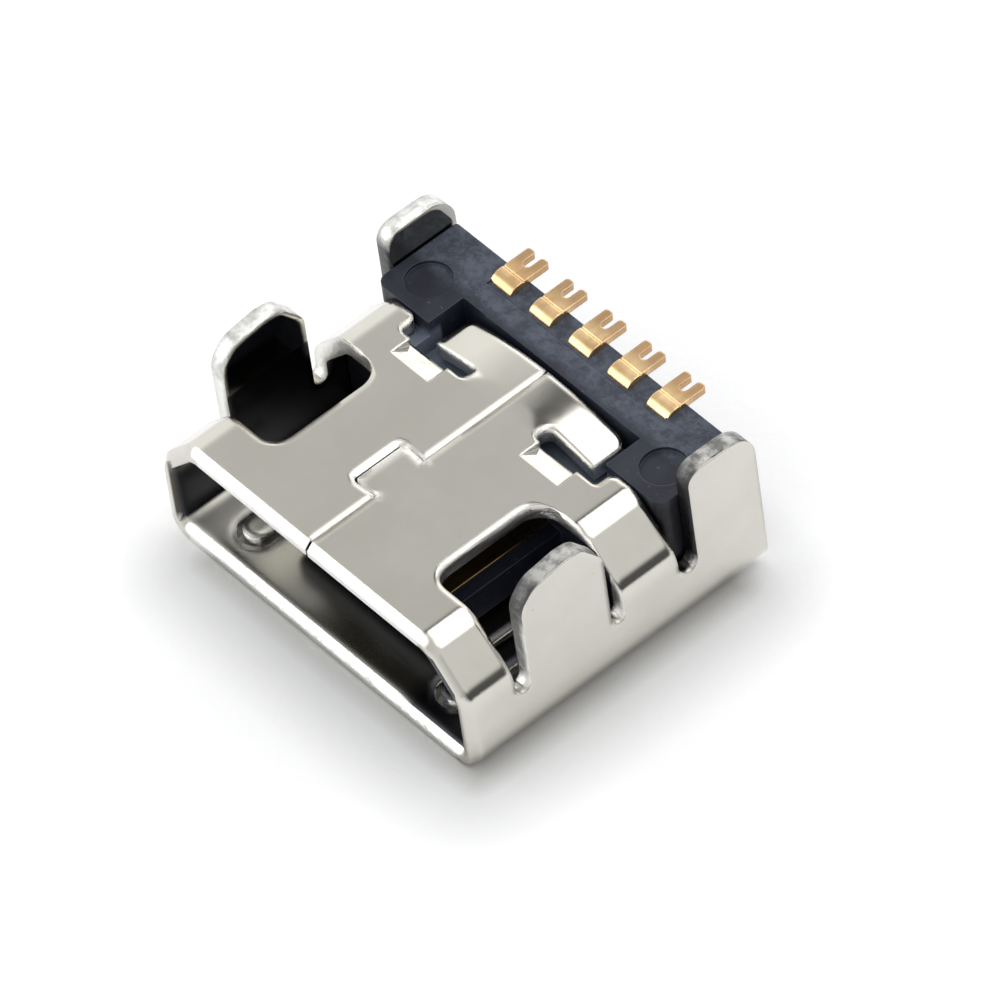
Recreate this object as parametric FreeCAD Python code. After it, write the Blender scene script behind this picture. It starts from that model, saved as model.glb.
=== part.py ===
import FreeCAD, Part
import math
import os

# Five-contact micro board socket, shown with its board side up, in mm.
# X runs across the mouth, +Y from the mouth to the tails, Z up from the wide face.

# Folded sheet
sheet = 0.30
mouth_width = 6.90
mouth_height = 1.90
shell_width = mouth_width + 2 * sheet
shell_height = mouth_height + 2 * sheet
seam_corner = 2.93
bevel_start = 1.62
floor_bend = 0.45
wall_bend = 0.62
seam_bend = 0.55
floor_corner = 0.26
lip_depth = 0.13
lip_drop = 0.12
lip_floor = 0.02
lead_in = 0.05
lead_floor = 0.12

# Front windows, ears and notches
window_start = 0.95
window_inner = 1.88
window_front_radius = 0.38
window_rear_radius = 0.45
notch_floor = 1.10
front_notch = 0.32
ear_width = 1.68
rear_notch = 0.28
ear_top = 3.31
ear_shoulder_fall = 0.44
ear_shoulder_run = 0.29
ear_crown_fall = 0.10
ear_crown_run = 0.95
ear_rear_run = 0.40
ear_rear_dip = 0.04
ear_rear_fall = 0.55
ear_front_round = 0.45
ear_crown_round = 0.50
ear_rear_round = 0.32

# Rear end of the seam face, its arms and the rear legs
flange_width = 1.12
leg_notch = 0.40
leg_width = 1.37
leg_top = 3.20
leg_front_round = 0.30
leg_rear_round = 0.55
face_corner = 2.36
face_round = 0.15
face_hollow = 0.10
face_step = 0.37
slot_width = 0.33
slot_inner = 0.86
slot_radius = 0.12
arm_width = 0.72
arm_reach = 1.88
arm_start = 0.10
arm_drop = 0.22
arm_corner = 0.20

# Seam with its dovetail
seam_gap = 0.05
dovetail_start = 1.47
dovetail_length = 0.96
dovetail_reach = 0.47
dovetail_flare = 0.03
dovetail_gap = 0.08
dovetail_round = 0.14

# Locking lances
lance_length = 0.41
lance_drop = 0.14
lance_left = -1.65
lance_right = 1.47
lance_width = 0.90
lance_room = 0.05

# Spring fingers in the wide face
finger_centre = 2.42
finger_width = 0.50
finger_slit = 0.11
finger_tip = 0.52
finger_length = 1.88
finger_rise = 0.08
finger_root_round = 0.05

# Moulding
gap = 0.03
body_cover = 0.36
tongue_start = 0.97
tongue_width = 3.50
tongue_low = 0.64
tongue_thick = 0.60
tongue_tip = 0.12
plate_top = 2.51
plate_inner = 2.10
plate_corner = 0.20
plate_gap = 0.04
plate_round = 0.06
rear_recess = 0.02
bar_gap = 0.10
bar_width = 0.45
ledge_drop = 0.04
well_room = 0.13
well_side = 0.25
mark_inset = 0.59
mark_back = 0.61
mark_diameter = 0.80
mark_depth = 0.07

# Terminals
contact_pitch = 0.65
contact_width = 0.38
contact_back = 0.10
contact_proud = 0.02
contact_round = 0.08
metal = 0.12
fan_back = 0.33
fan_length = 1.10
tail_pitch = 0.94
tail_width = 0.50
tail_back = 0.46
tail_reach = 0.42
tail_bend = 0.24
fork_depth = 0.32
fork_slot = 0.16
prong_round = 0.06
crease_back = 0.34
crease_width = 0.06
crease_depth = 0.02

# Places along the socket, each from the one before it
ear_start = window_start + front_notch
ear_end = ear_start + ear_width
window_end = ear_end + rear_notch
flange_end = window_end + flange_width
leg_start = flange_end + leg_notch
wall_end = leg_start + leg_width
slot_start = flange_end - face_step
slot_end = slot_start + slot_width
arm_end = slot_end + arm_width
dovetail_end = dovetail_start + dovetail_length
lance_fold = slot_start - lance_length
finger_root = finger_tip + finger_length
body_start = slot_start - body_cover
housing_end = wall_end - rear_recess
bar_start = arm_end + bar_gap
ledge_start = bar_start + bar_width
contact_start = tongue_start + contact_back
fan_start = body_start + fan_back
fan_end = fan_start + fan_length
tail_start = housing_end - tail_back
tail_end = housing_end + tail_reach
fork_start = tail_end - fork_depth
crease_at = tail_start + crease_back

half = shell_width / 2
inner = half - sheet
ceiling = shell_height - sheet
wall_flat = bevel_start - wall_bend * math.tan(math.radians(22.5)) - 0.005
ledge = plate_top - ledge_drop
plate_start = flange_end + plate_gap
mark_x = inner - gap - mark_inset
mark_y = plate_start + mark_back
arm_curve = ((arm_reach - arm_start) ** 2 + arm_drop ** 2) / (2 * arm_drop)
well_floor = ceiling - arm_drop - well_room
root = notch_floor - sheet
above = shell_height + ear_top
behind = wall_end + tail_end
shift = FreeCAD.Vector(0, -tail_end / 2, 0)
names = ["vbus", "dminus", "dplus", "id", "ground"]


def place(plane, u, v, at):
    if plane == "xz":
        return FreeCAD.Vector(u, at, v)
    if plane == "yz":
        return FreeCAD.Vector(at, u, v)
    return FreeCAD.Vector(u, v, at)


def corner(points, i, r):
    """Start, middle and end of the arc that rounds a corner, or the bare corner three times."""
    count = len(points)
    here = FreeCAD.Vector(points[i][0], points[i][1], 0)
    back = FreeCAD.Vector(points[i - 1][0], points[i - 1][1], 0) - here
    onward = FreeCAD.Vector(points[(i + 1) % count][0], points[(i + 1) % count][1], 0) - here
    if r <= 0:
        return here, None, here
    back.normalize()
    onward.normalize()
    angle = back.getAngle(onward)
    reach = r / math.tan(angle / 2)
    middle = back + onward
    middle.normalize()
    centre = here + middle * (r / math.sin(angle / 2))
    return here + back * reach, centre - middle * r, here + onward * reach


def rounded(points, radii, plane, at):
    """A closed wire through points of a plane, each corner rounded by its own radius."""
    radii = list(radii) + [0] * (len(points) - len(radii))
    arcs = [corner(points, i, radii[i]) for i in range(len(points))]
    edges = []
    for i, (first, middle, last) in enumerate(arcs):
        if middle is not None:
            a, b, c = [place(plane, p.x, p.y, at) for p in (first, middle, last)]
            edges.append(Part.Arc(a, b, c).toShape())
        following = arcs[(i + 1) % len(arcs)][0]
        if last.distanceToPoint(following) > 1e-6:
            a, b = [place(plane, p.x, p.y, at) for p in (last, following)]
            edges.append(Part.makeLine(a, b))
    return Part.Wire(edges)


def prism(points, radii, plane, start, end):
    axis = {"xz": FreeCAD.Vector(0, 1, 0), "yz": FreeCAD.Vector(1, 0, 0), "xy": FreeCAD.Vector(0, 0, 1)}
    face = Part.Face(rounded(points, radii, plane, start))
    return face.extrude(axis[plane] * (end - start))


def box(x0, x1, y0, y1, z0, z1):
    return Part.makeBox(x1 - x0, y1 - y0, z1 - z0, FreeCAD.Vector(x0, y0, z0))


def both(shape):
    return [shape, shape.mirror(FreeCAD.Vector(0, 0, 0), FreeCAD.Vector(1, 0, 0))]


def fuse(shapes):
    return shapes[0].multiFuse(shapes[1:]).removeSplitter()


def ring_points(inset, floor=None):
    """Corners of the mouth's outline, moved in by the inset; the wide face may have its own."""
    low = inset if floor is None else floor
    slope = (shell_height - bevel_start) / (half - seam_corner)
    side = half - inset
    top = shell_height - inset
    constant = bevel_start + slope * half - inset * math.hypot(1, slope)
    at_side = constant - slope * side
    at_top = (constant - top) / slope
    return [(-side, low), (side, low), (side, at_side), (at_top, top), (-at_top, top), (-side, at_side)]


def ring_radii(inset):
    f = floor_bend - inset
    w = wall_bend - inset
    s = seam_bend - inset
    return [f, f, w, s, s, w]


def ring_wire(inset, at, floor=None):
    return rounded(ring_points(inset, floor), ring_radii(inset), "xz", at)


def ring(inset, start, end):
    return prism(ring_points(inset), ring_radii(inset), "xz", start, end)


def tube():
    """The folded sheet before it is pierced, the lip of the mouth bevelled outside and inside."""
    lip = Part.makeLoft([ring_wire(lip_drop, 0, lip_floor), ring_wire(0, lip_depth)], True, True)
    outer = lip.fuse(ring(0, lip_depth, wall_end)).removeSplitter()
    flare = [ring_wire(sheet - lead_in, 0, sheet - lead_floor), ring_wire(sheet, lead_floor)]
    mouth = Part.makeLoft(flare, True, True)
    return outer.cut(ring(sheet, -1, wall_end + 1)).cut(mouth)


def front_windows():
    points = [(window_inner, window_start), (half + 1, window_start)]
    points += [(half + 1, window_end), (window_inner, window_end)]
    radii = [window_front_radius, 0, 0, window_rear_radius]
    return both(prism(points, radii, "xy", wall_flat, shell_height + 1))


def rear_opening():
    """Everything behind the seam face, whose rear edge steps back between the arms and the corners."""
    s = slot_start
    c = face_corner
    e = flange_end
    points = [(-half - 1, e), (-c, e), (-c, s), (c, s), (c, e), (half + 1, e), (half + 1, behind)]
    points.append((-half - 1, behind))
    radii = [0, face_round, face_hollow, face_hollow, face_round]
    return prism(points, radii, "xy", wall_flat, shell_height + 1)


def wall_plate(points, radii):
    return both(prism(points, radii, "yz", inner, half))


def ears():
    a, b, top = ear_start, ear_end, ear_top
    points = [(a, root), (a, top - ear_shoulder_fall), (a + ear_shoulder_run, top - ear_crown_fall)]
    points += [(a + ear_crown_run, top), (b - ear_rear_run, top - ear_rear_dip)]
    points += [(b, top - ear_rear_fall), (b, root)]
    radii = [0, ear_front_round, ear_front_round, ear_crown_round, ear_rear_round, ear_rear_round]
    return wall_plate(points, radii)


def legs():
    points = [(leg_start, root), (leg_start, leg_top), (wall_end, leg_top), (wall_end, root)]
    return wall_plate(points, [0, leg_front_round, leg_rear_round, 0])


def notch(start, end):
    """A slot across both side walls with a round floor."""
    points = [(start, above), (start, notch_floor), (end, notch_floor), (end, above)]
    r = (end - start) / 2 - 0.002
    return both(prism(points, [0, r, r, 0], "yz", inner - 0.02, half + 0.02))


def arm_wire(reach, curved, at):
    """Half of the section behind the slots, flat or drooping along its curve."""
    def down(x):
        fall = arm_curve - math.sqrt(arm_curve ** 2 - (x - arm_start) ** 2)
        return fall if curved else 0
    middle = (arm_start + reach) / 2
    low = [place("xz", x, ceiling - down(x), at) for x in (0, arm_start, middle, reach)]
    top = [place("xz", x, shell_height - down(x), at) for x in (0, arm_start, middle, reach)]
    edges = []
    for a, b, c, d in (low, top):
        bow = Part.Arc(b, c, d).toShape() if curved else Part.makeLine(b, d)
        edges.append([Part.makeLine(a, b), bow])
    edges = edges[0] + [Part.makeLine(low[3], top[3])] + edges[1][::-1] + [Part.makeLine(top[0], low[0])]
    return Part.Wire(Part.__sortEdges__(edges))


def arms():
    """The tongue of the seam face behind the slots, with an arm each way that droops toward its end."""
    side = slot_inner + slot_radius
    neck = [arm_wire(side, False, slot_start), arm_wire(side, True, slot_end)]
    arm = Part.Face(arm_wire(arm_reach, True, slot_end)).extrude(FreeCAD.Vector(0, arm_end - slot_end, 0))
    arm = arm.fuse(Part.makeLoft(neck, True, True))
    plan = [(-sheet, 0), (arm_reach, 0), (arm_reach, arm_end), (-sheet, arm_end)]
    arm = arm.common(prism(plan, [0, 0, arm_corner, 0], "xy", 0, above))
    slot = [(slot_inner, slot_start), (half, slot_start), (half, slot_end), (slot_inner, slot_end)]
    arm = arm.cut(prism(slot, [slot_radius, 0, 0, slot_radius], "xy", 0, above))
    return both(arm)


def seam():
    """The gap between the two halves of the seam face, around the dovetail."""
    g = seam_gap / 2
    f = dovetail_flare
    d = dovetail_gap
    reach = dovetail_reach
    start = dovetail_start
    end = dovetail_end
    low = ceiling - sheet
    top = shell_height + sheet
    slit = box(-g, g, -sheet, arm_end + sheet, low, top)
    pocket = [(g, start - d / 2), (-reach - d, start - d / 2 - f)]
    pocket += [(-reach - d, end + d / 2 + f), (g, end + d / 2)]
    tab = [(g + f, start), (-reach, start - f), (-reach, end + f), (g + f, end)]
    r = dovetail_round
    void = prism(pocket, [0, r, r, 0], "xy", low, top)
    solid = prism(tab, [0, r / 2, r / 2, 0], "xy", low, top)
    return slit.fuse(void).cut(solid)


def lance(centre):
    """A tab on the front edge of a rear slot, pressed down toward its free end."""
    drop = lance_drop
    points = [(lance_fold, ceiling), (lance_fold, shell_height), (slot_start, shell_height - drop)]
    points += [(slot_start, ceiling - drop)]
    return prism(points, [], "yz", centre - lance_width / 2, centre + lance_width / 2)


def lance_gap(centre):
    """The place in the seam face that the tab is sheared from."""
    w = lance_width / 2
    end = (slot_start + slot_end) / 2
    return box(centre - w, centre + w, lance_fold, end, ceiling - sheet, shell_height + sheet)


def finger_window():
    w = finger_width / 2 + finger_slit
    front = finger_tip - finger_slit
    points = [(finger_centre - w, front), (finger_centre + w, front)]
    points += [(finger_centre + w, finger_root), (finger_centre - w, finger_root)]
    r = finger_root_round
    return both(prism(points, [w - 0.01, w - 0.01, r, r], "xy", -sheet, 2 * sheet))


def finger():
    """A spring finger of the wide face, free toward the mouth and raised a little there."""
    w = finger_width / 2
    rise = finger_rise
    end = finger_root + finger_root_round
    points = [(finger_tip, rise), (end, 0), (end, sheet), (finger_tip, sheet + rise)]
    strip = prism(points, [], "yz", finger_centre - w, finger_centre + w)
    plan = [(finger_centre - w, finger_tip), (finger_centre + w, finger_tip)]
    plan += [(finger_centre + w, end), (finger_centre - w, end)]
    return both(strip.common(prism(plan, [w - 0.01, w - 0.01, 0, 0], "xy", -sheet, above)))


def rear_trim():
    """Rounds the lower rear corners of the walls and ends the wide face there."""
    r = floor_corner
    e = wall_end
    q = r * math.cos(math.radians(45))
    a = FreeCAD.Vector(-half - 1, e - r, 0)
    b = FreeCAD.Vector(-half - 1, e - r + q, r - q)
    c = FreeCAD.Vector(-half - 1, e, r)
    d = FreeCAD.Vector(-half - 1, e + 1, r)
    f = FreeCAD.Vector(-half - 1, e + 1, -1)
    g = FreeCAD.Vector(-half - 1, e - r, -1)
    edges = [Part.Arc(a, b, c).toShape(), Part.makeLine(c, d), Part.makeLine(d, f), Part.makeLine(f, g)]
    edges.append(Part.makeLine(g, a))
    return Part.Face(Part.Wire(edges)).extrude(FreeCAD.Vector(shell_width + 2, 0, 0))


def make_shell():
    shape = tube()
    shape = shape.cut(front_windows() + [rear_opening()])
    shape = fuse([shape] + ears() + legs() + arms())
    shape = shape.cut(notch(window_start, ear_start) + notch(ear_end, window_end))
    shape = shape.cut(notch(flange_end, leg_start))
    shape = shape.cut([lance_gap(lance_left), lance_gap(lance_right), seam()])
    shape = shape.cut(finger_window() + [rear_trim()])
    shape = fuse([shape, lance(lance_left), lance(lance_right)] + finger())
    return shape


def contact(i):
    """One terminal: blade on the tongue, fan inside the moulding, riser, and forked tail on the bar."""
    xc = (2 - i) * contact_pitch
    xt = (2 - i) * tail_pitch
    w = contact_width / 2
    t = tail_width / 2
    low = tongue_low + tongue_thick + contact_proud - metal
    top = ledge + metal
    blade = [(xc - w, contact_start), (xc + w, contact_start), (xc + w, fan_start), (xt + t, fan_end)]
    blade += [(xt + t, tail_start + metal), (xt - t, tail_start + metal)]
    blade += [(xt - t, fan_end), (xc - w, fan_start)]
    flat = prism(blade, [contact_round, contact_round], "xy", low, low + metal)
    s = tail_start
    side = [(s, low), (s, top), (tail_end, top), (tail_end, ledge), (s + metal, ledge), (s + metal, low)]
    riser = prism(side, [0, tail_bend, 0, 0, tail_bend - metal, 0], "yz", xt - t, xt + t)
    plan = [(xt - t, 0), (xt + t, 0), (xt + t, tail_end), (xt + fork_slot / 2, tail_end)]
    plan += [(xt + fork_slot / 2, fork_start), (xt - fork_slot / 2, fork_start)]
    plan += [(xt - fork_slot / 2, tail_end), (xt - t, tail_end)]
    r = prong_round
    n = fork_slot / 2 - 0.002
    riser = riser.common(prism(plan, [0, 0, r, r, n, n, r, r], "xy", 0, above))
    c = crease_at
    v = crease_width / 2
    crease = prism([(c - v, top), (c, top - crease_depth), (c + v, top)], [], "yz", xt - t, xt + t)
    return flat.fuse(riser).removeSplitter().cut(crease)


def plate_plan():
    """Outline of the moulding's top: two corner plates joined by the bar behind the arms."""
    x = inner - gap
    r = plate_corner
    points = [(-x, plate_start), (-plate_inner, plate_start), (-plate_inner, bar_start)]
    points += [(plate_inner, bar_start), (plate_inner, plate_start), (x, plate_start)]
    points += [(x, housing_end), (-x, housing_end)]
    return points, [r] + [plate_round] * 4 + [r, plate_round, plate_round]


def lower_body():
    """The block that fills the folded sheet behind the cavity."""
    points = ring_points(sheet + gap)
    points[0] = (-inner + gap, sheet)
    points[1] = (inner - gap, sheet)
    points[3] = (points[3][0] - gap, ceiling)
    points[4] = (points[4][0] + gap, ceiling)
    r = floor_bend - sheet + gap
    w = wall_bend - sheet
    s = seam_bend - sheet
    radii = [r, r, w, s, s, w]
    return prism(points, radii, "xz", body_start, housing_end)


def tongue():
    w = tongue_width / 2
    end = body_start + tongue_thick
    points = [(tongue_start, tongue_low), (end, tongue_low)]
    points += [(end, tongue_low + tongue_thick), (tongue_start, tongue_low + tongue_thick)]
    bar = prism(points, [tongue_tip, 0, 0, tongue_tip], "yz", -w, w)
    return bar


def housing_pockets():
    """Room for the arms, the lances and the marks left by the mould."""
    x = arm_reach + well_side
    cuts = [box(-x, x, slot_start, bar_start, well_floor, above)]
    w = lance_width / 2 + lance_room
    floor = ceiling - lance_drop - lance_room
    for c in (lance_left, lance_right):
        cuts.append(box(c - w, c + w, lance_fold - lance_room, slot_start + 2 * gap, floor, above))
    for x in (-mark_x, mark_x):
        base = FreeCAD.Vector(x, mark_y, plate_top - mark_depth)
        cuts.append(Part.makeCylinder(mark_diameter / 2, 1, base))
    cuts.append(box(-plate_inner, plate_inner, ledge_start, behind, ledge, above))
    return cuts


def make_housing(contacts):
    points, radii = plate_plan()
    top = prism(points, radii, "xy", root, plate_top)
    shape = fuse([lower_body(), top, tongue()])
    shape = shape.cut(housing_pockets())
    return shape.cut(contacts)


def save(shape, name):
    solid = shape.Solids[0] if len(shape.Solids) == 1 else shape
    solid.translate(shift)
    print(name, len(shape.Solids), "solid", shape.isValid(), round(solid.Volume, 3))
    solid.exportStep("parts/" + name + ".step")


def main():
    os.makedirs("parts", exist_ok=True)
    contacts = [contact(i) for i in range(5)]
    save(make_shell(), "shell")
    save(make_housing(contacts), "housing")
    for i, name in enumerate(names):
        save(contacts[i], "contact_%d_%s" % (i + 1, name))


main()
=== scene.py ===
import math

import bpy
from bpy.props import FloatProperty, FloatVectorProperty, PointerProperty
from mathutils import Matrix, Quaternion, Vector


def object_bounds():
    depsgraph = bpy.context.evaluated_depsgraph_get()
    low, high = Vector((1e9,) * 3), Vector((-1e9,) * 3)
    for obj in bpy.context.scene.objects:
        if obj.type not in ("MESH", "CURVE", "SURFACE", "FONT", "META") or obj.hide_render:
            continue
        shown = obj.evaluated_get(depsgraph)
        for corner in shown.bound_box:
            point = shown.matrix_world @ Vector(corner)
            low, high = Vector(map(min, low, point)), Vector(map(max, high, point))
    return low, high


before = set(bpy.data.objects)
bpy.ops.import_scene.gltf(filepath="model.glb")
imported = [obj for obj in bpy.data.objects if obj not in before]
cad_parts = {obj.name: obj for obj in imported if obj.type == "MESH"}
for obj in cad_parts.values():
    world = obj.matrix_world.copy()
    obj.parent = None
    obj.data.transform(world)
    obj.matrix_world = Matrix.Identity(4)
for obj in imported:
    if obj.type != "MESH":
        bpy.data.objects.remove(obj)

bl_info = {
    "name": "Micro board socket",
    "version": (1, 0, 0),
    "blender": (4, 5, 0),
    "location": "3D View > Sidebar > Socket",
    "description": "Finishes the folded shell, the moulding and the terminals of a small board socket",
    "category": "Object",
}

CAD_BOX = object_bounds()
TERMINALS = sorted(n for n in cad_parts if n.startswith("contact_"))
MM = 0.001
PER_MM = 1000.0
WHITE = (1.0, 1.0, 1.0, 1.0)


# Places in mm: across from the middle, along, and up from the floor. Two numbers are a soft step from
# nought to one, and two more are the values at its ends. Three are the ends of a band and the width of
# its soft flanks.

# On the sheet, along from the mouth's lip
ABOVE_SEAM_FACE = (2.52, 2.54)
BEHIND_LIP = (0.15, 0.20)
LIP_DEPTH = (0.145, 0.135)
UPPER_LIP_UP, UPPER_LIP_ACROSS = (2.15, 2.25), (2.72, 2.62)
LOWER_LIP_UP, LOWER_LIP_ACROSS = (0.35, 0.30), (3.35, 3.20)
SLOT_UP, SLOT_ACROSS = (1.96, 2.50, 0.02), (0.75, 2.35, 0.10)
LANCE_ALONG, LANCE_ACROSS, LANCE_UP = (3.15, 3.95, 0.10), (0.70, 2.40, 0.10), (2.10, 2.20)
RIGHT_LEGS_ACROSS, RIGHT_LEGS_UP = (3.10, 3.18), (2.30, 2.95)
LEFT_END_ACROSS, LEFT_END_UP = (-3.53, -3.40, 0.06), (0.38, 1.75, 0.20)
EAR_FRONT_ALONG, EAR_FRONT_UP = (4.60, 4.90, 0.02), (1.20, 2.95, 0.25)
EAR_ALONG, EAR_UP = (4.60, 4.90), (2.45, 3.20, 0.10)
INSIDE_ACROSS, INSIDE_UP = (3.48, 3.46), (0.28, 2.22, 0.01)
TAB_ALONG, TAB_ACROSS, TAB_UP = (1.40, 2.52, 0.05), (0.70, 0.62), (2.40, 2.45)
# Where the painted shade inside the mouth fades out toward the left wall
INSIDE_SHADE_ACROSS = (-2.90, -2.10)
CORNER_ACROSS = (-2.30, -2.90)
FAR_SIDE_ACROSS = (1.70, 2.10)

# How strong the painted shade on the inner faces of the rear legs is, and how much wider the rims of the cut edges
# are
EAR_SHADE = 0.5
WIDER_RIMS = 1.7

# How the sheet faces: the same over one part of its normal; forward is below nought, backward above
POST_SIDEWAYS, FAR_SIDE_SIDEWAYS = (0.75, 0.60), (0.80, 0.60)
SIDE_ENDWAYS, SLOT_UPRIGHT = (0.40, 0.55), (0.60, 0.40)
LIP_FORWARD, LEFT_END_FORWARD = (-0.20, -0.35), (-0.25, -0.35)
EAR_FRONT_FORWARD, LEG_FRONT_FORWARD = (-0.60, -0.90), (-0.10, -0.60)
LANCE_BACKWARD = (0.20, 0.50, 0.05)
CORNER_UPWARD = (0.60, 0.80)

# The place across times the part of the normal across: above nought on outer faces, below it on inner ones
INSIDE_OUTWARD, LEFT_END_OUTWARD, WALL_OUTWARD = (0.80, 0.40), (1.00, 0.20), (-1.80, -2.60)

# On the moulding and the terminals, along from the middle of the socket
# Where light and shade are painted on the moulding: light on the rear bar, strongest facing up, shade below the
# plates, and light in the pits below the shell's slots
BAR_ALONG, BAR_TOP_LIGHT_UPWARD = (1.86, 2.08), (0.20, 0.60, 0.35, 1.00)
SHADED_UP, SHADED_ALONG, SHADED_ACROSS, SHADED_UPWARD = (2.48, 2.30), (2.30, 2.10), (2.30, 2.60), (0.60, 0.30)
PIT_UP, PIT_ALONG, PIT_ACROSS = (2.35, 2.20), (0.60, 1.35, 0.05), (2.50, 2.30)
TIPS_ALONG = (2.72, 3.00)
TONGUE_ALONG = (2.20, 2.00)

# The floor, in mm: how far it reaches and how far below the socket it lies, then places away from the socket over
# which a painted shadow fades, in the floor's colour and in its glow to the camera and in reflections, and how far
# it is cut back on the two sides toward the light
FLOOR_REACH, FLOOR_DROP = 600.0, 0.01
PAINTED_SHADOW_REACH = (0.0, 0.45)
GLOW_START, SEEN_GLOW_END, MIRRORED_GLOW_END = 0.05, 1.7, 0.6
OPEN_SIDE = 1.1

# The surroundings by direction, X to the right, Y to the back and Z up. A panel is its direction, then how
# close to it the panel starts and is full.
DARK_BAND_X, DARK_BAND_FOOT, DARK_BAND_TOP = (0.45, 0.85), (-0.28, -0.10), (0.46, 0.34)
STRIP_LEFT, STRIP_RIGHT, STRIP_FOOT = (-0.52, -0.46), (-0.34, -0.38), (0.45, 0.60)
STRIP_SHARE = 0.9
DARKEST = 0.12
RIGHT_GAIN = (-0.5, 0.8, 1.0, 1.25)
LEFT_GAIN = (-0.57, -0.74, 1.0, 1.7)
FRONT_PANEL = ((-0.547, -0.70, 0.40), 0.86, 0.93)
BACK_PANEL = ((-0.547, 0.756, 0.36), 0.93, 0.96)
LEAN_LEFT, LEAN_BACK = -0.30, 0.15
REFLECTED_TINT, FILL_TINT = (1.0, 1.0, 0.985, 1.0), (0.985, 0.99, 1.0, 1.0)

# The finishes: how far each roughness varies, how strong the drawn lines are in the relief, and where the
# clouds, the specks and the rounded rims begin and are full
POLISH_SPREAD, DULLNESS_SPREAD, SATIN_SPREAD = (0.7, 1.4), (0.85, 1.2), (0.8, 1.25)
SHEET_LINES, MOULDING_LINES, FINE_RELIEF = 0.6, 0.8, 0.5
LINES_RANGE, CLOUD_RANGE, RIM_RANGE = (0.3, 0.7), (0.35, 0.68), (0.999, 0.85)
SPECK_LEVEL, SPECK_GAIN, SPECK_SOFTNESS = 0.78, 0.5, 0.06

# The lamp, in mm, and how near and far the camera sees, in mm
LAMP_TOWARD, LAMP_AWAY, LAMP_WIDTH, LAMP_HEIGHT = (0.15, 0.374, 0.91), 100.0, 110.0, 55.0
SEEN_FROM, SEEN_TO = 10.0, 5000.0
SENSOR_WIDTH = 36.0


# Settings

def colour(name, default, text):
    return FloatVectorProperty(name=name, description=text, subtype="COLOR", size=3, min=0.0, max=1.0,
                               default=default)


def length(name, default, text):
    return FloatProperty(name=name, description=text, subtype="DISTANCE", unit="LENGTH", default=default,
                         min=0.0, precision=6)


def factor(name, default, text, high=1.0):
    return FloatProperty(name=name, description=text, default=default, min=0.0, max=high, precision=3)


def turn(name, degrees, text):
    return FloatProperty(name=name, description=text, subtype="ANGLE", unit="ROTATION",
                         default=math.radians(degrees))


class ShellFinish(bpy.types.PropertyGroup):
    plating: colour("Plating", (0.62, 0.605, 0.555), "Colour of the bright nickel plating")
    worn: colour("Worn plating", (0.50, 0.475, 0.42), "Colour of the plating where it is thin or dulled")
    clouding: factor("Clouding", 0.35, "How far the clouds of wear dull the plating")
    polish: factor("Roughness", 0.10, "Roughness of the plated sheet")
    speck_polish: factor("Speck roughness", 0.25, "How much rougher the specks are")
    ripple: factor("Ripple", 0.12, "Depth of the faint ripple that the rolls leave in the sheet")
    relief: length("Relief", 0.004 * MM, "Height of the ripple and the tears")
    rim: length("Rim radius", 0.15 * MM, "Radius to which the punched rims are rounded")
    lip: length("Lip rim radius", 0.05 * MM, "Radius to which the upper lip and the lances are rounded")
    sheared: colour("Sheared edge", (0.86, 0.855, 0.83), "Colour of the bare sheared edges of the sheet")
    torn: factor("Sheared roughness", 0.34, "Roughness of the sheared edges")
    tears: factor("Tears", 0.90, "Depth of the marks that the punch tears in the sheared edges")
    tear_height: factor("Tear height", 9.0, "Height of the tears, against the ripple", 50.0)
    # Grains of wear dull all the legs' edges; the same colour is painted shade on the right legs' edges
    rubbed_and_shaded: colour("Rubbed edge", (0.17, 0.17, 0.16), "Colour of the legs' edges where they are rubbed dull")
    grain: factor("Rubbed grain", 0.45, "How far grains of wear dull the edges of all the legs")
    # Painted shade: how far the right legs' edges are darkened beyond the grains
    right_leg_shade: factor("Rubbed right legs", 0.55, "How far the edges of the right legs are dulled beside that")
    rubbed_polish: factor("Rubbed roughness", 0.50, "Roughness of the right legs' edges")
    # Painted shade: how far the right legs' forward-facing edges are darkened
    front_edge_shade: factor("Dark front edges", 0.80, "How dark the front edges of the right legs are")
    # Painted shade on the inner front edge of the mouth's left wall
    ends: colour("Inner edge", (0.085, 0.08, 0.065), "Colour of the inner edge of the mouth's left wall")
    # Colour of the painted shade on the legs' front edges and on the front band of the rear legs
    shaded: colour("Shaded edge", (0.06, 0.06, 0.065), "Colour of the legs' dark front edges")
    inside: factor("Inside roughness", 0.24, "Roughness of the sheet inside the mouth")
    corner: factor("Corner roughness", 0.50, "Roughness of the sheet in the left corner of the mouth")
    # Painted shade: a mid grey that darkens the plating inside the mouth, also laid in patches on the lances
    mid_shade: colour("Inside plating", (0.30, 0.295, 0.27), "Colour of the duller plating inside the mouth")
    # Painted shade on the mouth's inner walls and on the sideways faces at its right, and at half strength on the
    # rear legs' inner faces
    deep_shade: colour("Deep plating", (0.06, 0.06, 0.07), "Colour of the plating in the shade of the moulding")


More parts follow.
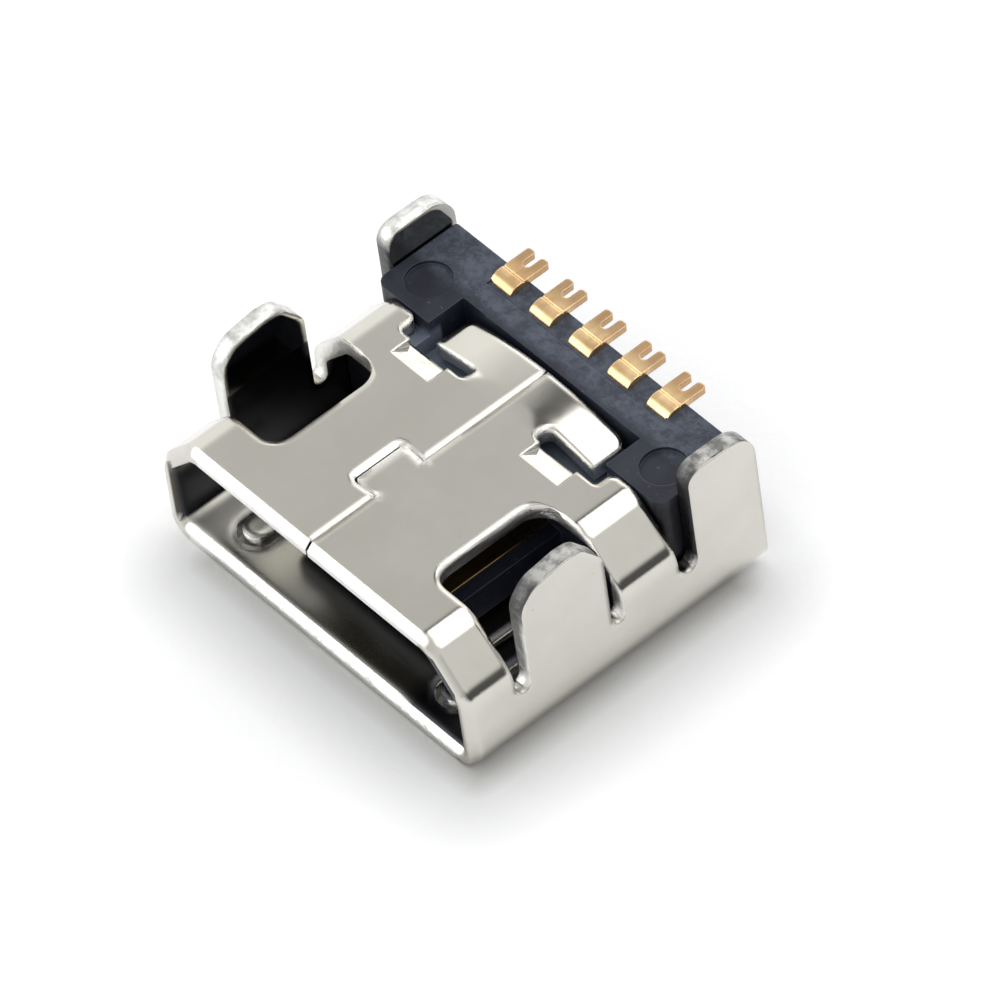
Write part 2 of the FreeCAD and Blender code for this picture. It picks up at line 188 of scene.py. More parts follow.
class MouldingFinish(bpy.types.PropertyGroup):
    plastic: colour("Plastic", (0.012, 0.014, 0.025), "Colour of the moulded plastic")
    # Pale scuffs and fibre, and also the painted light on the rear bar
    scuffs_and_light: colour("Scuffed plastic", (0.088, 0.104, 0.140), "Colour of the scuffs and the pale fibre")
    # Painted light: the moulding below the shell's slots is made lighter than the plastic
    pit_light: colour("Plastic in the slots", (0.15, 0.175, 0.23), "Colour of the moulding below the slots of the shell")
    # Painted shade on the upright faces below the plates
    deep_shade: colour("Shaded plastic", (0.004, 0.004, 0.007), "Colour of the upright faces below the plates")
    edge_scuffs: factor("Scuffed edges", 0.35, "How pale the edges are")
    cloud_scuffs: factor("Clouds", 0.16, "How pale the clouds on the faces are")
    speck_scuffs: factor("Specks", 0.50, "How pale the specks are")
    # Painted light and scuffs: how pale the rear bar is at the least
    bar_light_and_scuffs: factor("Scuffed bar", 0.28, "How pale the rear bar is at the least")
    dullness: factor("Roughness", 0.42, "Roughness of the moulded surface")
    sheen: factor("Sheen", 0.28, "Strength of the moulded surface's shine")
    texture: factor("Texture", 0.35, "Depth of the moulded texture")
    relief: length("Relief", 0.006 * MM, "Height of the moulded texture")
    rim: length("Edge radius", 0.03 * MM, "Radius of the moulded edges")


class TerminalFinish(bpy.types.PropertyGroup):
    gold: colour("Gold", (0.88, 0.64, 0.35), "Colour of the gold plating")
    thin: colour("Thin gold", (0.52, 0.30, 0.13), "Colour of the plating where it is thin")
    tips: colour("Tips", (0.50, 0.34, 0.20), "Colour of the plating near the forked ends")
    # Painted shade on the terminals along the tongue, inside the mouth
    tongue_shade: colour("Hidden run", (0.30, 0.20, 0.09), "Colour of the terminals on the tongue, in the mouth's shade")
    clouding: factor("Clouding", 0.60, "How thin the plating is in the clouds of wear")
    specks: factor("Specks", 0.40, "How thin the plating is in the specks")
    satin: factor("Roughness", 0.30, "Roughness of the plated strip")
    texture: factor("Texture", 0.30, "Depth of the rolled texture")
    relief: length("Relief", 0.005 * MM, "Height of the rolled texture")
    rim: length("Edge radius", 0.035 * MM, "Radius of the stamped strip's edges")


class StageSettings(bpy.types.PropertyGroup):
    floor: colour("Floor", (0.82, 0.82, 0.82), "Colour of the floor")
    # Painted shadow: the floor's colour next to the socket, blending to the floor colour further out
    contact: colour("Floor at the socket", (0.60, 0.595, 0.575), "Colour of the floor where the socket stands")
    grain: factor("Floor grain", 0.30, "Depth of the floor's grain")
    grain_height: length("Grain height", 0.03 * MM, "Height of the floor's grain")
    # The floor's glow to the camera and in reflections fades toward the socket, which paints a shadow there
    floor_light: factor("Floor brightness", 0.30, "How bright the floor is by itself to the camera", 2.0)
    floor_mirror: factor("Mirrored floor", 0.36, "How bright the floor is by itself in reflections", 2.0)
    fill: factor("Fill", 1.00, "Brightness of the surroundings as they light the object", 4.0)
    mirror: factor("Surroundings", 0.74, "Brightness of the surroundings as the metal reflects them", 4.0)
    key: FloatProperty(name="Key lamp", description="Power of the lamp above, seen in the metal only",
                       default=0.040, min=0.0, unit="POWER")
    front: factor("Front panel", 2.2, "Brightness of the panel at the front that the lips mirror", 8.0)
    back: factor("Back panel", 1.3, "Brightness of the panel at the back that the lances mirror", 8.0)


class ViewSettings(bpy.types.PropertyGroup):
    azimuth: turn("Azimuth", 55.62, "Angle round the socket from its mouth")
    elevation: turn("Elevation", 48.49, "Angle above the floor")
    roll: turn("Roll", -8.74, "Turn of the picture")
    distance: length("Distance", 222.5 * MM, "Distance from the aim point")
    lens: FloatProperty(name="Lens", description="Focal length for a sensor 36 mm wide", default=509.165,
                        min=1.0)
    aim: FloatVectorProperty(name="Aim", description="Point at the middle of the picture", subtype="XYZ",
                             unit="LENGTH", size=3, default=(0.581 * MM, 0.115 * MM, 1.249 * MM), precision=6)


# Node helpers

def new_group(name, inputs, outputs):
    """A shader node group with named sockets, its input and output nodes ready."""
    tree = bpy.data.node_groups.new(name, "ShaderNodeTree")
    for label, kind, default in inputs:
        s = tree.interface.new_socket(label, in_out="INPUT", socket_type="NodeSocket" + kind)
        if default is not None:
            s.default_value = default
    for label, kind in outputs:
        tree.interface.new_socket(label, in_out="OUTPUT", socket_type="NodeSocket" + kind)
    return tree, tree.nodes.new("NodeGroupInput"), tree.nodes.new("NodeGroupOutput")


def feed(tree, socket, value):
    """Links a socket to a value that comes from another node, or else sets it."""
    if isinstance(value, bpy.types.NodeSocket):
        tree.links.new(value, socket)
    else:
        socket.default_value = value


def put(tree, kind, sockets=None, **settings):
    """Adds a node and sets its fields and its sockets."""
    node = tree.nodes.new("ShaderNode" + kind)
    for key, value in settings.items():
        setattr(node, key, value)
    for key, value in (sockets or {}).items():
        feed(tree, node.inputs[key], value)
    return node


def connect(tree, node, **sockets):
    """Sets or links the named sockets of a node; an underscore stands for a space."""
    for key, value in sockets.items():
        feed(tree, node.inputs[key.replace("_", " ")], value)


def maths(tree, operation, a, b=0.0, clamp=False):
    return put(tree, "Math", {0: a, 1: b}, operation=operation, use_clamp=clamp).outputs[0]


def times(tree, first, *others):
    """The product of several values."""
    for other in others:
        first = maths(tree, "MULTIPLY", first, other)
    return first


def most(tree, first, *others):
    """The largest of several values."""
    for other in others:
        first = maths(tree, "MAXIMUM", first, other)
    return first


def remap(tree, value, low, high, to_low=0.0, to_high=1.0):
    return put(tree, "MapRange", {"Value": value, "From Min": low, "From Max": high, "To Min": to_low,
                                  "To Max": to_high}).outputs[0]


def spread(tree, value, span, level, shares):
    """A level that varies between two shares of itself as a value goes through a span."""
    return remap(tree, value, *span, *(level * share for share in shares))


def between(tree, value, low, high, soft):
    """One between two limits, nought outside, with soft flanks."""
    rise = remap(tree, value, low - soft / 2, low + soft / 2)
    return times(tree, rise, remap(tree, value, high + soft / 2, high - soft / 2))


def noise(tree, vector, scale, detail=3.0, rough=0.55):
    return put(tree, "TexNoise", {"Vector": vector, "Scale": scale, "Detail": detail,
                                  "Roughness": rough}).outputs["Fac"]


def mix(tree, share, a, b):
    """A blend of two colours."""
    node = put(tree, "Mix", data_type="RGBA")
    for index, value in ((0, share), (6, a), (7, b)):
        feed(tree, node.inputs[index], value)
    return node.outputs[2]


def mix_value(tree, share, a, b):
    return put(tree, "Mix", {0: share, 2: a, 3: b}, data_type="FLOAT").outputs[0]


def solid(rgb):
    return (*rgb, 1.0)


def separate(tree, vector):
    """The three parts of a vector."""
    return tuple(put(tree, "SeparateXYZ", {0: vector}).outputs)


def in_mm(tree, place):
    """The three coordinates of a place, in mm."""
    scaled = put(tree, "VectorMath", {0: place, 1: (PER_MM, PER_MM, PER_MM)}, operation="MULTIPLY")
    return separate(tree, scaled.outputs[0])


def normal_of(tree):
    """The normal in the object's own axes."""
    return put(tree, "TexCoord").outputs["Normal"]


# Effects that several finishes share

def rounded_rims():
    """The normal of a surface whose sharp edges are rounded, and a mask of where they are."""
    tree, into, out = new_group("rounded_rims", [("Radius", "Float", 0.05 * MM)],
                                [("Normal", "Vector"), ("Rim", "Float")])
    bevel = put(tree, "Bevel", {"Radius": into.outputs["Radius"]}, samples=8)
    flat = put(tree, "NewGeometry")
    dot = put(tree, "VectorMath", {0: bevel.outputs[0], 1: flat.outputs["Normal"]}, operation="DOT_PRODUCT")
    tree.links.new(bevel.outputs[0], out.inputs["Normal"])
    tree.links.new(remap(tree, dot.outputs["Value"], *RIM_RANGE), out.inputs["Rim"])
    return tree


def cloudy_wear():
    """Soft clouds and small specks that vary a finish, with a height for their relief."""
    tree, into, out = new_group(
        "cloudy_wear",
        [("Vector", "Vector", None), ("Cloud Scale", "Float", 400.0), ("Speck Scale", "Float", 4000.0),
         ("Speck Share", "Float", 0.1)],
        [("Cloud", "Float"), ("Speck", "Float"), ("Height", "Float")])
    soft = noise(tree, into.outputs["Vector"], into.outputs["Cloud Scale"], detail=4.0)
    fine = noise(tree, into.outputs["Vector"], into.outputs["Speck Scale"], detail=2.0, rough=0.6)
    cloud = remap(tree, soft, *CLOUD_RANGE)
    least = maths(tree, "SUBTRACT", SPECK_LEVEL, times(tree, into.outputs["Speck Share"], SPECK_GAIN))
    speck = remap(tree, fine, least, maths(tree, "ADD", least, SPECK_SOFTNESS))
    height = maths(tree, "SUBTRACT", times(tree, fine, FINE_RELIEF), speck)
    for name, socket in (("Cloud", cloud), ("Speck", speck), ("Height", height)):
        tree.links.new(socket, out.inputs[name])
    return tree


def drawn_lines():
    """Fine lines along one direction, as rolls and dies leave them."""
    tree, into, out = new_group(
        "drawn_lines", [("Vector", "Vector", None), ("Scale", "Float", 1500.0), ("Stretch", "Float", 0.06)],
        [("Lines", "Float")])
    scale = put(tree, "CombineXYZ", {0: 1.0, 1: into.outputs["Stretch"], 2: 1.0})
    stretched = put(tree, "VectorMath", {0: into.outputs["Vector"], 1: scale.outputs[0]}, operation="MULTIPLY")
    lines = noise(tree, stretched.outputs[0], into.outputs["Scale"], detail=4.0, rough=0.65)
    tree.links.new(lines, out.inputs["Lines"])
    return tree


def sheet_zones():
    """Masks of where the folded sheet is cut, worn or rougher, and of where shade is painted on it inside the
    mouth and on the legs.
    """
    names = ("Sheared", "Inside", "InsideShade", "Deep", "Corner", "Lip", "LeftEndShade", "Joint", "Bend", "LanceShade", "Shade",
             "Post", "Right", "FrontEdgeShade")
    tree, into, out = new_group("sheet_zones", [("Place", "Vector", None), ("Facing", "Vector", None)],
                                [(name, "Float") for name in names])
    x, y, up = in_mm(tree, into.outputs["Place"])
    facing = separate(tree, into.outputs["Facing"])
    across = maths(tree, "ABSOLUTE", x)
    along = maths(tree, "ADD", y, CAD_BOX[0].y * -PER_MM)
    outward = times(tree, x, facing[0])
    sideways, endways, upright = (maths(tree, "ABSOLUTE", part) for part in facing)

    posts = times(tree, remap(tree, up, *ABOVE_SEAM_FACE), remap(tree, sideways, *POST_SIDEWAYS))
    sides = times(tree, remap(tree, endways, *SIDE_ENDWAYS), remap(tree, along, *BEHIND_LIP))
    slots = times(tree, between(tree, up, *SLOT_UP), remap(tree, upright, *SLOT_UPRIGHT),
                  between(tree, across, *SLOT_ACROSS))
    front = remap(tree, along, *LIP_DEPTH)
    upper = times(tree, remap(tree, up, *UPPER_LIP_UP), remap(tree, across, *UPPER_LIP_ACROSS))
    lower = times(tree, remap(tree, up, *LOWER_LIP_UP), remap(tree, across, *LOWER_LIP_ACROSS))
    lips = times(tree, most(tree, upper, lower), remap(tree, facing[1], *LIP_FORWARD), front)

    inner = times(tree, remap(tree, across, *INSIDE_ACROSS), between(tree, up, *INSIDE_UP),
                  remap(tree, outward, *INSIDE_OUTWARD))
    walls = remap(tree, outward, *WALL_OUTWARD)
    far = times(tree, remap(tree, x, *FAR_SIDE_ACROSS), remap(tree, sideways, *FAR_SIDE_SIDEWAYS))
    ears = times(tree, between(tree, up, *EAR_UP), remap(tree, along, *EAR_ALONG), walls, EAR_SHADE)
    # Painted shade on the front edge of the mouth's left wall, on its inner half
    ends = times(tree, between(tree, x, *LEFT_END_ACROSS), between(tree, up, *LEFT_END_UP),
                 remap(tree, facing[1], *LEFT_END_FORWARD), remap(tree, outward, *LEFT_END_OUTWARD), front)

    bend = times(tree, between(tree, along, *LANCE_ALONG), between(tree, across, *LANCE_ACROSS),
                 remap(tree, up, *LANCE_UP))
    # Painted shade on the right legs' edges; this mask also makes them rougher
    right = times(tree, most(tree, posts, sides), remap(tree, x, *RIGHT_LEGS_ACROSS),
                  remap(tree, up, *RIGHT_LEGS_UP))
    masks = {
        "Sheared": most(tree, posts, sides, slots, lips),
        "Inside": inner,
        # Painted shade inside the mouth, fading out toward the left wall
        "InsideShade": times(tree, inner, remap(tree, x, *INSIDE_SHADE_ACROSS)),
        # Painted shade: the mouth's inner walls and its right side, and the rear legs' inner faces
        "Deep": most(tree, times(tree, inner, most(tree, walls, far)), ears),
        "Corner": times(tree, inner, remap(tree, x, *CORNER_ACROSS), remap(tree, facing[2], *CORNER_UPWARD)),
        "Lip": times(tree, front, upper),
        "LeftEndShade": ends,
        "Joint": times(tree, between(tree, along, *TAB_ALONG), remap(tree, across, *TAB_ACROSS),
                       remap(tree, up, *TAB_UP)),
        "Bend": bend,
        # Painted shade: grey patches on the lances' backward faces, standing in for the shading of their rounded
        # faces
        "LanceShade": times(tree, bend, between(tree, facing[1], *LANCE_BACKWARD)),
        # Painted shade on the forward faces of the rear legs
        "Shade": times(tree, between(tree, along, *EAR_FRONT_ALONG), between(tree, up, *EAR_FRONT_UP),
                       remap(tree, facing[1], *EAR_FRONT_FORWARD)),
        "Post": most(tree, posts, right),
        "Right": right,
        # Painted shade on the right legs' edges that face forward
        "FrontEdgeShade": times(tree, right, remap(tree, facing[1], *LEG_FRONT_FORWARD)),
    }
    for name, mask in masks.items():
        tree.links.new(mask, out.inputs[name])
    return tree


EFFECTS = {"rounded_rims": rounded_rims, "cloudy_wear": cloudy_wear, "drawn_lines": drawn_lines,
           "sheet_zones": sheet_zones}
BUILT = {}


def effect(tree, name, **sockets):
    """Adds one of the shared effects and gives its outputs by name."""
    if name not in BUILT:
        BUILT[name] = EFFECTS[name]()
    node = tree.nodes.new("ShaderNodeGroup")
    node.node_tree = BUILT[name]
    connect(tree, node, **sockets)
    return node.outputs


def new_finish(name):
    """A material with an empty Principled shader, and its object coordinates."""
    material = bpy.data.materials.new(name)
    material.use_nodes = True
    tree = material.node_tree
    tree.nodes.clear()
    shader = put(tree, "BsdfPrincipled")
    put(tree, "OutputMaterial", {0: shader.outputs[0]})
    return material, tree, shader, put(tree, "TexCoord").outputs["Object"]


def wear(obj, material):
    obj.data.materials.clear()
    obj.data.materials.append(material)


# Finishes

def plated_sheet(s):
    material, tree, shader, place = new_finish("bright_plating")
    zones = effect(tree, "sheet_zones", Place=place, Facing=normal_of(tree))
    wide = most(tree, zones["Inside"], zones["Sheared"], zones["Joint"])
    radius = mix_value(tree, zones["Lip"], mix_value(tree, wide, s.rim, s.rim * WIDER_RIMS), s.lip)
    radius = mix_value(tree, zones["Bend"], radius, s.lip)
    rims = effect(tree, "rounded_rims", Radius=radius)
    clouds = effect(tree, "cloudy_wear", Vector=place, Cloud_Scale=700.0, Speck_Scale=5200.0, Speck_Share=0.08)
    lines = effect(tree, "drawn_lines", Vector=place, Scale=2600.0, Stretch=0.05)
    streaks = effect(tree, "drawn_lines", Vector=place, Scale=8000.0, Stretch=0.14)
    # Noise for the patches of painted shade on the lances
    patches = remap(tree, noise(tree, place, scale=3400.0, detail=3.0, rough=0.6), low=0.44, high=0.70,
                    to_high=0.6)
    grains = remap(tree, noise(tree, place, scale=3800.0, detail=4.0, rough=0.7), low=0.40, high=0.60)
    # Grains of wear on all the legs' edges, and painted shade on the right legs' edges
    rub_and_shade = maths(tree, "ADD", times(tree, grains, zones["Post"], s.grain),
                times(tree, zones["Right"], s.right_leg_shade), True)

    base = mix(tree, maths(tree, "MAXIMUM", times(tree, clouds["Cloud"], s.clouding), clouds["Speck"], True),
               solid(s.plating), solid(s.worn))
    # Over the plating: the sheared edges and the tab's rims, worn grain on the legs' edges, and painted shade
    # inside the mouth, on the lances and on the legs' and walls' edges
    for share, tone in ((zones["InsideShade"], s.mid_shade), (zones["Sheared"], s.sheared),
                        (times(tree, zones["Joint"], rims["Rim"]), s.sheared),
                        (times(tree, zones["LanceShade"], patches), s.mid_shade), (rub_and_shade, s.rubbed_and_shaded),
                        (times(tree, zones["FrontEdgeShade"], s.front_edge_shade), s.shaded), (zones["LeftEndShade"], s.ends),
                        (zones["Deep"], s.deep_shade), (zones["Shade"], s.shaded)):
        base = mix(tree, share, base, solid(tone))

    rough = maths(tree, "ADD", spread(tree, clouds["Cloud"], (0.0, 1.0), s.polish, POLISH_SPREAD),
                  times(tree, clouds["Speck"], s.speck_polish), True)
    for name, level in (("Inside", s.inside), ("Corner", s.corner), ("Sheared", s.torn),
                        ("Right", s.rubbed_polish)):
        rough = mix_value(tree, zones[name], rough, level)

    rolled = maths(tree, "ADD", times(tree, lines["Lines"], SHEET_LINES), clouds["Height"])
    height = mix_value(tree, zones["Sheared"], rolled, times(tree, streaks["Lines"], s.tear_height))
    strength = mix_value(tree, zones["Sheared"], s.ripple, s.tears)
    bump = put(tree, "Bump", {"Strength": strength, "Distance": s.relief, "Height": height,
                              "Normal": rims["Normal"]})
    connect(tree, shader, Base_Color=base, Metallic=1.0, Roughness=rough, Normal=bump.outputs[0])
    return material


def moulded_plastic(s):
    material, tree, shader, place = new_finish("moulded_plastic")
    rims = effect(tree, "rounded_rims", Radius=s.rim)
    clouds = effect(tree, "cloudy_wear", Vector=place, Cloud_Scale=1400.0, Speck_Scale=9000.0, Speck_Share=0.20)
    flow = effect(tree, "drawn_lines", Vector=place, Scale=5200.0, Stretch=0.18)
    x, along, up = in_mm(tree, place)
    facing_up = separate(tree, normal_of(tree))[2]
    across = maths(tree, "ABSOLUTE", x)
    # Painted light on the rear bar, strongest on its upward faces
    bar = times(tree, remap(tree, along, *BAR_ALONG), remap(tree, facing_up, *BAR_TOP_LIGHT_UPWARD))
    # Painted shade on the upright faces below the plates
    shaded = times(tree, remap(tree, up, *SHADED_UP), remap(tree, facing_up, *SHADED_UPWARD),
                   remap(tree, along, *SHADED_ALONG), remap(tree, across, *SHADED_ACROSS))
    # Painted light in the pits below the shell's slots
    pit_light = times(tree, remap(tree, up, *PIT_UP), remap(tree, across, *PIT_ACROSS),
                between(tree, along, *PIT_ALONG))
    # Patches of scuffs and painted light on the rear bar
    patches = remap(tree, noise(tree, place, scale=4200.0, detail=6.0, rough=0.75), low=0.42, high=0.64,
                    to_low=s.bar_light_and_scuffs)

    pale = times(tree, rims["Rim"], s.edge_scuffs)
    for more in (times(tree, clouds["Cloud"], s.cloud_scuffs), times(tree, clouds["Speck"], s.speck_scuffs),
                 times(tree, bar, patches)):
        pale = maths(tree, "ADD", pale, more, True)
    base = mix(tree, pale, solid(s.plastic), solid(s.scuffs_and_light))
    base = mix(tree, pit_light, base, solid(s.pit_light))
    base = mix(tree, shaded, base, solid(s.deep_shade))
    rough = spread(tree, flow["Lines"], LINES_RANGE, s.dullness, DULLNESS_SPREAD)
    height = maths(tree, "ADD", times(tree, flow["Lines"], MOULDING_LINES), clouds["Height"])
    bump = put(tree, "Bump", {"Strength": s.texture, "Distance": s.relief, "Height": height,
                              "Normal": rims["Normal"]})
    connect(tree, shader, Base_Color=base, Roughness=rough, Specular_IOR_Level=s.sheen, Normal=bump.outputs[0])
    return material


def plated_strip(s):
    material, tree, shader, place = new_finish("gold_plating")
    rims = effect(tree, "rounded_rims", Radius=s.rim)
    clouds = effect(tree, "cloudy_wear", Vector=place, Cloud_Scale=2600.0, Speck_Scale=9000.0, Speck_Share=0.12)
    lines = effect(tree, "drawn_lines", Vector=place, Scale=6500.0, Stretch=0.12)
    along = in_mm(tree, place)[1]
    thin = maths(tree, "ADD", times(tree, clouds["Cloud"], s.clouding),
                 times(tree, clouds["Speck"], s.specks), True)
    base = mix(tree, remap(tree, along, *TIPS_ALONG), solid(s.gold), solid(s.tips))
    base = mix(tree, thin, base, solid(s.thin))
    # Painted shade on the terminals along the tongue
    base = mix(tree, remap(tree, along, *TONGUE_ALONG), base, solid(s.tongue_shade))
    rough = spread(tree, lines["Lines"], LINES_RANGE, s.satin, SATIN_SPREAD)
    height = maths(tree, "ADD", lines["Lines"], clouds["Height"])
    bump = put(tree, "Bump", {"Strength": s.texture, "Distance": s.relief, "Height": height,
                              "Normal": rims["Normal"]})
    connect(tree, shader, Base_Color=base, Metallic=1.0, Roughness=rough, Normal=bump.outputs[0])
    return material


# Stage

def clearance(tree, place):
    """How far a point of the floor is from the socket, in mm, for the painted shadow; the two sides toward the
    light are left open.
    """
    x, y, _ = separate(tree, place)
    low, high = CAD_BOX
    open_side = OPEN_SIDE * MM
    beyond = []
    for axis, least, greatest in ((x, low.x + open_side, high.x), (y, low.y, high.y - open_side)):
        off = maths(tree, "ABSOLUTE", maths(tree, "SUBTRACT", axis, (least + greatest) / 2))
        beyond.append(most(tree, maths(tree, "SUBTRACT", off, (greatest - least) / 2), 0.0))
    reach = put(tree, "CombineXYZ", {0: beyond[0], 1: beyond[1]})
    distance = put(tree, "VectorMath", {0: reach.outputs[0]}, operation="LENGTH")
    return times(tree, distance.outputs["Value"], PER_MM)


def floor_finish(s):
    """A pale floor that keeps the socket's shadow, with a painted shadow around the socket, and is nearly white to
    the camera and in reflections.
    """
    material = bpy.data.materials.new("pale_floor")
    material.use_nodes = True
    tree = material.node_tree
    tree.nodes.clear()
    place = put(tree, "TexCoord").outputs["Object"]
    bump = put(tree, "Bump", {"Strength": s.grain, "Distance": s.grain_height,
                              "Height": noise(tree, place, scale=6500.0, detail=2.0)})
    away = clearance(tree, place)
    # Painted shadow: the floor is darker next to the socket
    tone = mix(tree, remap(tree, away, *PAINTED_SHADOW_REACH), solid(s.contact), solid(s.floor))
    matt = put(tree, "BsdfDiffuse", {"Color": tone, "Normal": bump.outputs[0]})
    rays = put(tree, "LightPath").outputs
    seen = most(tree, rays["Is Camera Ray"], rays["Is Transmission Ray"])
    # The glow fades toward the socket, which paints a shadow there
    seen_glow = times(tree, seen, remap(tree, away, GLOW_START, SEEN_GLOW_END, 0.0, s.floor_light))
    mirrored_glow = times(tree, rays["Is Glossy Ray"],
                          remap(tree, away, GLOW_START, MIRRORED_GLOW_END, 0.0, s.floor_mirror))
    glow = put(tree, "Emission", {"Color": WHITE, "Strength": maths(tree, "ADD", seen_glow, mirrored_glow)})
    both = put(tree, "AddShader", {0: matt.outputs[0], 1: glow.outputs[0]})
    put(tree, "OutputMaterial", {"Surface": both.outputs[0]})
    return material


def surroundings(s):
    """White to the camera; to the metal, a pale room with darker bands and two bright panels."""
    world = bpy.data.worlds.new("studio")
    bpy.context.scene.world = world
    world.use_nodes = True
    tree = world.node_tree
    tree.nodes.clear()
    direction = put(tree, "TexCoord").outputs["Generated"]
    x, y, z = separate(tree, direction)
    band = times(tree, remap(tree, x, *DARK_BAND_X), remap(tree, z, *DARK_BAND_FOOT),
                 remap(tree, z, *DARK_BAND_TOP))
    strip = times(tree, remap(tree, x, *STRIP_LEFT), remap(tree, x, *STRIP_RIGHT), remap(tree, z, *STRIP_FOOT),
                  STRIP_SHARE)
    level = times(tree, remap(tree, most(tree, band, strip), 0.0, 1.0, 1.0, DARKEST),
                  remap(tree, x, *RIGHT_GAIN), remap(tree, x, *LEFT_GAIN), s.mirror)
    for (toward, outer, inner), power in ((FRONT_PANEL, s.front), (BACK_PANEL, s.back)):
        near = put(tree, "VectorMath", {0: direction, 1: Vector(toward).normalized()}, operation="DOT_PRODUCT")
        panel = remap(tree, near.outputs["Value"], outer, inner)
        level = maths(tree, "ADD", level, times(tree, panel, power))
    lean = maths(tree, "ADD", times(tree, x, LEAN_LEFT), times(tree, y, LEAN_BACK))
    fill = times(tree, maths(tree, "ADD", lean, 1.0), s.fill)
    mirrored = put(tree, "Background", {"Color": REFLECTED_TINT, "Strength": level})
    lit = put(tree, "Background", {"Color": FILL_TINT, "Strength": fill})
    white = put(tree, "Background", {"Color": WHITE, "Strength": 1.0})
    rays = put(tree, "LightPath").outputs
    seen = most(tree, rays["Is Camera Ray"], rays["Is Transmission Ray"])
    first = put(tree, "MixShader", {0: rays["Is Glossy Ray"], 1: lit.outputs[0], 2: mirrored.outputs[0]})
    last = put(tree, "MixShader", {0: seen, 1: first.outputs[0], 2: white.outputs[0]})
    put(tree, "OutputWorld", {"Surface": last.outputs[0]})


def lamp(name, direction, distance, width, height, power):
    """A rectangular lamp that faces the socket and is seen in its metal only."""
    data = bpy.data.lights.new(name, "AREA")
    data.shape = "RECTANGLE"
    data.size = width
    data.size_y = height
    data.energy = power
    obj = bpy.data.objects.new(name, data)
    bpy.context.scene.collection.objects.link(obj)
    toward = Vector(direction).normalized()
    obj.location = toward * distance
    obj.rotation_mode = "QUATERNION"
    obj.rotation_quaternion = (-toward).to_track_quat("-Z", "Y")
    obj.visible_diffuse = False


# Operators

class SOCKET_OT_shell(bpy.types.Operator):
    """Gives the folded shell its bright plating with rounded rims"""
    bl_idname = "socket.shell"
    bl_label = "Finish the shell"

    def execute(self, context):
        wear(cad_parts["shell"], plated_sheet(context.scene.socket_shell))
        return {"FINISHED"}


class SOCKET_OT_moulding(bpy.types.Operator):
    """Gives the moulding its dark plastic with pale scuffs, painted light on the rear bar and in the slots' pits,
    and painted shade below the plates
    """
    bl_idname = "socket.moulding"
    bl_label = "Finish the moulding"

    def execute(self, context):
        wear(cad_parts["housing"], moulded_plastic(context.scene.socket_moulding))
        return {"FINISHED"}


class SOCKET_OT_terminals(bpy.types.Operator):
    """Gives the terminals their satin gold plating"""
    bl_idname = "socket.terminals"
    bl_label = "Finish the terminals"

    def execute(self, context):
        material = plated_strip(context.scene.socket_terminals)
        for name in TERMINALS:
            wear(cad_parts[name], material)
        return {"FINISHED"}


class SOCKET_OT_stage(bpy.types.Operator):
    """Sets the floor, the surroundings and the lamp"""
    bl_idname = "socket.stage"
    bl_label = "Set the stage"

    def execute(self, context):
        s = context.scene.socket_stage
        side = FLOOR_REACH * MM
        low = CAD_BOX[0].z - FLOOR_DROP * MM
        corners = [(-side, -side, low), (side, -side, low), (side, side, low), (-side, side, low)]
        mesh = bpy.data.meshes.new("floor")
        mesh.from_pydata(corners, [], [(0, 1, 2, 3)])
        floor = bpy.data.objects.new("floor", mesh)
        context.scene.collection.objects.link(floor)
        wear(floor, floor_finish(s))
        surroundings(s)
        lamp("key_lamp", LAMP_TOWARD, LAMP_AWAY * MM, LAMP_WIDTH * MM, LAMP_HEIGHT * MM, s.key)
        context.scene.view_settings.view_transform = "Standard"
        return {"FINISHED"}


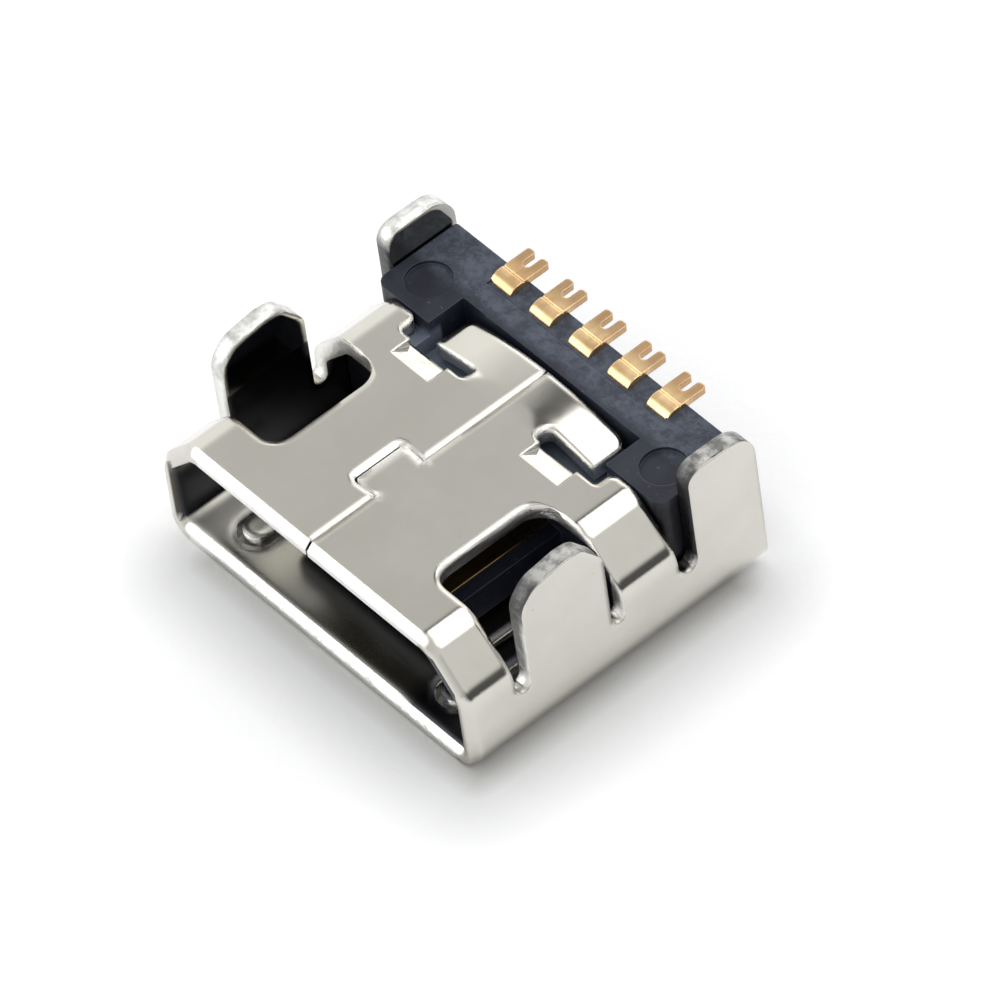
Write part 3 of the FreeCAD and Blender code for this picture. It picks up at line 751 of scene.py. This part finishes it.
class SOCKET_OT_camera(bpy.types.Operator):
    """Places the camera at the picture's viewing angle"""
    bl_idname = "socket.camera"
    bl_label = "Place the camera"

    def execute(self, context):
        s = context.scene.socket_view
        data = bpy.data.cameras.new("view")
        data.sensor_width = SENSOR_WIDTH
        data.lens = s.lens
        data.clip_start = SEEN_FROM * MM
        data.clip_end = SEEN_TO * MM
        camera = bpy.data.objects.new("view", data)
        context.scene.collection.objects.link(camera)
        level = math.cos(s.elevation)
        back = Vector((math.sin(s.azimuth) * level, -math.cos(s.azimuth) * level, math.sin(s.elevation)))
        camera.location = Vector(s.aim) + back * s.distance
        camera.rotation_mode = "QUATERNION"
        camera.rotation_quaternion = (-back).to_track_quat("-Z", "Y") @ Quaternion((0.0, 0.0, 1.0), s.roll)
        context.scene.camera = camera
        return {"FINISHED"}


class SOCKET_PT_panel(bpy.types.Panel):
    """Lists the socket's pieces and its stage"""
    bl_idname = "SOCKET_PT_panel"
    bl_label = "Micro board socket"
    bl_space_type = "VIEW_3D"
    bl_region_type = "UI"
    bl_category = "Socket"

    def draw(self, context):
        scene = context.scene
        for operator, group in ((SOCKET_OT_shell, scene.socket_shell),
                                (SOCKET_OT_moulding, scene.socket_moulding),
                                (SOCKET_OT_terminals, scene.socket_terminals),
                                (SOCKET_OT_stage, scene.socket_stage), (SOCKET_OT_camera, scene.socket_view)):
            box = self.layout.box()
            box.operator(operator.bl_idname)
            for name in group.__annotations__:
                box.prop(group, name)


GROUPS = {"socket_shell": ShellFinish, "socket_moulding": MouldingFinish, "socket_terminals": TerminalFinish,
          "socket_stage": StageSettings, "socket_view": ViewSettings}
CLASSES = (*GROUPS.values(), SOCKET_OT_shell, SOCKET_OT_moulding, SOCKET_OT_terminals, SOCKET_OT_stage,
           SOCKET_OT_camera, SOCKET_PT_panel)


def register():
    for c in CLASSES:
        bpy.utils.register_class(c)
    for name, group in GROUPS.items():
        setattr(bpy.types.Scene, name, PointerProperty(type=group))


def unregister():
    for name in GROUPS:
        delattr(bpy.types.Scene, name)
    for c in reversed(CLASSES):
        bpy.utils.unregister_class(c)


def main():
    register()
    bpy.ops.socket.shell()
    bpy.ops.socket.moulding()
    bpy.ops.socket.terminals()
    bpy.ops.socket.stage()
    bpy.ops.socket.camera()


if __name__ == "__main__":
    main()
